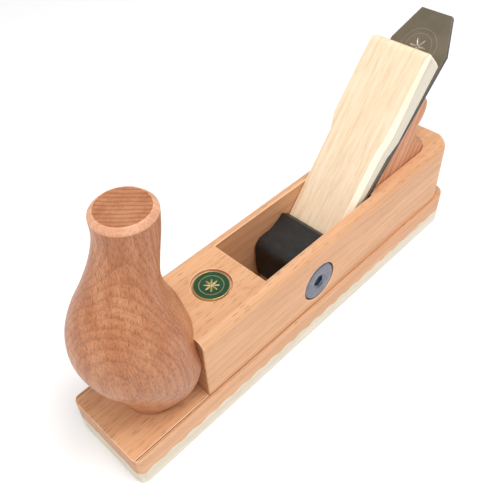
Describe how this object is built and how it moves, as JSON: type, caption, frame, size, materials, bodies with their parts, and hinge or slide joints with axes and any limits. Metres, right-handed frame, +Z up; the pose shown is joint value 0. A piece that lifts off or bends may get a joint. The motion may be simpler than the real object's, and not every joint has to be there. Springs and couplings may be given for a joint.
{
  "type": "hand plane",
  "caption": "Wooden scrub plane with a carved front horn, a wedged cutting iron on a 45-degree bed, a pivoting wedge abutment and a hand guard.",
  "frame": {"origin": "centre of the sole's underside, where the plane rests", "axes": "+X from heel to toe, the way the plane is pushed; +Y to the user's left, the side with the bolt head; +Z up"},
  "size_m": [0.2488, 0.0532, 0.1313],
  "materials": {
    "steamed_beech": "oiled satin, short dark flecks along the length",
    "sole_hornbeam": "oiled satin, very fine grain",
    "horn_beech": "oiled satin, fine flecks, end grain on top",
    "dowel_beech": "plain, glued in",
    "guard_beech": "oiled satin, upright grain",
    "wedge_hornbeam": "smooth, fine streaks",
    "gilt_brass": "polished rim",
    "green_enamel": "gloss enamel",
    "tool_steel": "ground, darkened at the edges",
    "black_abutment": "semi-gloss, lightly mottled",
    "zinc_steel": "dull zinc plate"
  },
  "bodies": {
    "stock": {"body_stock": "steamed_beech", "sole": "sole_hornbeam", "front_horn": "horn_beech", "horn_dowel_rear": "dowel_beech", "horn_dowel_front": "dowel_beech", "hand_guard": "guard_beech", "guard_dowel_left": "dowel_beech", "guard_dowel_right": "dowel_beech", "badge_plate": "gilt_brass", "badge_enamel": "green_enamel", "cross_bolt": "zinc_steel", "sleeve_nut": "zinc_steel", "strike_button": "zinc_steel"},
    "iron": {"plane_iron": "tool_steel"},
    "wedge": {"wedge": "wedge_hornbeam"},
    "abutment": {"wedge_abutment": "black_abutment"}
  },
  "joints": [
    {"name": "iron_slide", "type": "slide", "parent": "stock", "child": "iron", "axis": [-0.7071, 0, 0.7071], "range_m": [-0.0018, 0.06]},
    {"name": "wedge_slide", "type": "slide", "parent": "stock", "child": "wedge", "axis": [-0.7071, 0, 0.7071], "range_m": [0, 0.06]},
    {"name": "abutment_pivot", "type": "hinge", "parent": "stock", "child": "abutment", "pos_m": [-0.00099, 0, 0.03561], "axis": [0, -1, 0], "range_deg": [0, 14]}
  ],
  "couplings": [
    {"joint": "abutment_pivot", "follows": "wedge_slide", "rad_per_m": 4}
  ]
}
